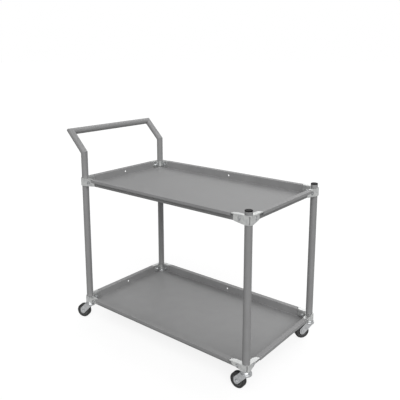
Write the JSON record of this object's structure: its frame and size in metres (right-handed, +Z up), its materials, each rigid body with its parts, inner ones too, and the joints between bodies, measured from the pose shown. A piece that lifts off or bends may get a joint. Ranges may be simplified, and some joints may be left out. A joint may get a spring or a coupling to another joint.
{
  "type": "utility cart",
  "caption": "Open utility cart with upper and lower folded steel trays on tube posts, a bent-tube push handle, cast corner clamps and swivel casters.",
  "frame": {"origin": "on the floor, under the middle of the cart's overall length and width", "axes": "+X forward along the cart's length, away from the push handle; +Y across it to the left; +Z up"},
  "size_m": [1.0261, 0.5656, 0.9108],
  "materials": {
    "grey_paint": "fine-textured grey powder coat, satin",
    "bright_zinc": "bright plated casting, glossy",
    "plated_steel": "zinc-plated pressed steel, satin",
    "black_rubber": "matt black rubber",
    "hub_plastic": "moulded dark plastic",
    "cap_plastic": "moulded black plastic"
  },
  "bodies": {
    "cart_frame": {"handle_frame": "grey_paint", "post_front_right": "grey_paint", "post_front_left": "grey_paint", "post_cap_front_right": "cap_plastic", "post_cap_front_left": "cap_plastic", "tray_upper": "grey_paint", "tray_lower": "grey_paint", "clamp_outer_upper_rear_right": "bright_zinc", "clamp_inner_upper_rear_right": "bright_zinc", "clamp_bolt_upper_rear_right_side": "plated_steel", "clamp_bolt_upper_rear_right_end": "plated_steel", "clamp_outer_upper_front_right": "bright_zinc", "clamp_inner_upper_front_right": "bright_zinc", "clamp_bolt_upper_front_right_side": "plated_steel", "clamp_bolt_upper_front_right_end": "plated_steel", "clamp_outer_upper_front_left": "bright_zinc", "clamp_inner_upper_front_left": "bright_zinc", "clamp_bolt_upper_front_left_side": "plated_steel", "clamp_bolt_upper_front_left_end": "plated_steel", "clamp_outer_upper_rear_left": "bright_zinc", "clamp_inner_upper_rear_left": "bright_zinc", "clamp_bolt_upper_rear_left_side": "plated_steel", "clamp_bolt_upper_rear_left_end": "plated_steel", "clamp_outer_lower_rear_right": "bright_zinc", "clamp_inner_lower_rear_right": "bright_zinc", "clamp_bolt_lower_rear_right_side": "plated_steel", "clamp_bolt_lower_rear_right_end": "plated_steel", "clamp_outer_lower_front_right": "bright_zinc", "clamp_inner_lower_front_right": "bright_zinc", "clamp_bolt_lower_front_right_side": "plated_steel", "clamp_bolt_lower_front_right_end": "plated_steel", "clamp_outer_lower_front_left": "bright_zinc", "clamp_inner_lower_front_left": "bright_zinc", "clamp_bolt_lower_front_left_side": "plated_steel", "clamp_bolt_lower_front_left_end": "plated_steel", "clamp_outer_lower_rear_left": "bright_zinc", "clamp_inner_lower_rear_left": "bright_zinc", "clamp_bolt_lower_rear_left_side": "plated_steel", "clamp_bolt_lower_rear_left_end": "plated_steel", "caster_stem_rear_right": "plated_steel", "caster_stem_front_right": "plated_steel", "caster_stem_front_left": "plated_steel", "caster_stem_rear_left": "plated_steel"},
    "caster_rear_right": {"caster_fork_rear_right": "plated_steel", "caster_axle_rear_right": "plated_steel"},
    "wheel_rear_right": {"wheel_hub_rear_right": "hub_plastic", "wheel_tyre_rear_right": "black_rubber"},
    "caster_front_right": {"caster_fork_front_right": "plated_steel", "caster_axle_front_right": "plated_steel"},
    "wheel_front_right": {"wheel_hub_front_right": "hub_plastic", "wheel_tyre_front_right": "black_rubber"},
    "caster_front_left": {"caster_fork_front_left": "plated_steel", "caster_axle_front_left": "plated_steel"},
    "wheel_front_left": {"wheel_hub_front_left": "hub_plastic", "wheel_tyre_front_left": "black_rubber"},
    "caster_rear_left": {"caster_fork_rear_left": "plated_steel", "caster_axle_rear_left": "plated_steel"},
    "wheel_rear_left": {"wheel_hub_rear_left": "hub_plastic", "wheel_tyre_rear_left": "black_rubber"}
  },
  "joints": [
    {"name": "swivel_rear_right", "type": "hinge", "parent": "cart_frame", "child": "caster_rear_right", "pos_m": [-0.41015, -0.25, 0.07], "axis": [0, 0, 1], "continuous": true},
    {"name": "wheel_spin_rear_right", "type": "hinge", "parent": "caster_rear_right", "child": "wheel_rear_right", "pos_m": [-0.4421, -0.26163, 0.0315], "axis": [-0.342, 0.9397, 0], "continuous": true},
    {"name": "swivel_front_right", "type": "hinge", "parent": "cart_frame", "child": "caster_front_right", "pos_m": [0.48985, -0.25, 0.07], "axis": [0, 0, 1], "continuous": true},
    {"name": "wheel_spin_front_right", "type": "hinge", "parent": "caster_front_right", "child": "wheel_front_right", "pos_m": [0.45585, -0.25, 0.0315], "axis": [0, 1, 0], "continuous": true},
    {"name": "swivel_front_left", "type": "hinge", "parent": "cart_frame", "child": "caster_front_left", "pos_m": [0.48985, 0.25, 0.07], "axis": [0, 0, 1], "continuous": true},
    {"name": "wheel_spin_front_left", "type": "hinge", "parent": "caster_front_left", "child": "wheel_front_left", "pos_m": [0.46799, 0.22395, 0.0315], "axis": [-0.766, 0.6428, 0], "continuous": true},
    {"name": "swivel_rear_left", "type": "hinge", "parent": "cart_frame", "child": "caster_rear_left", "pos_m": [-0.41015, 0.25, 0.07], "axis": [0, 0, 1], "continuous": true},
    {"name": "wheel_spin_rear_left", "type": "hinge", "parent": "caster_rear_left", "child": "wheel_rear_left", "pos_m": [-0.4421, 0.26163, 0.0315], "axis": [0.342, 0.9397, 0], "continuous": true}
  ]
}
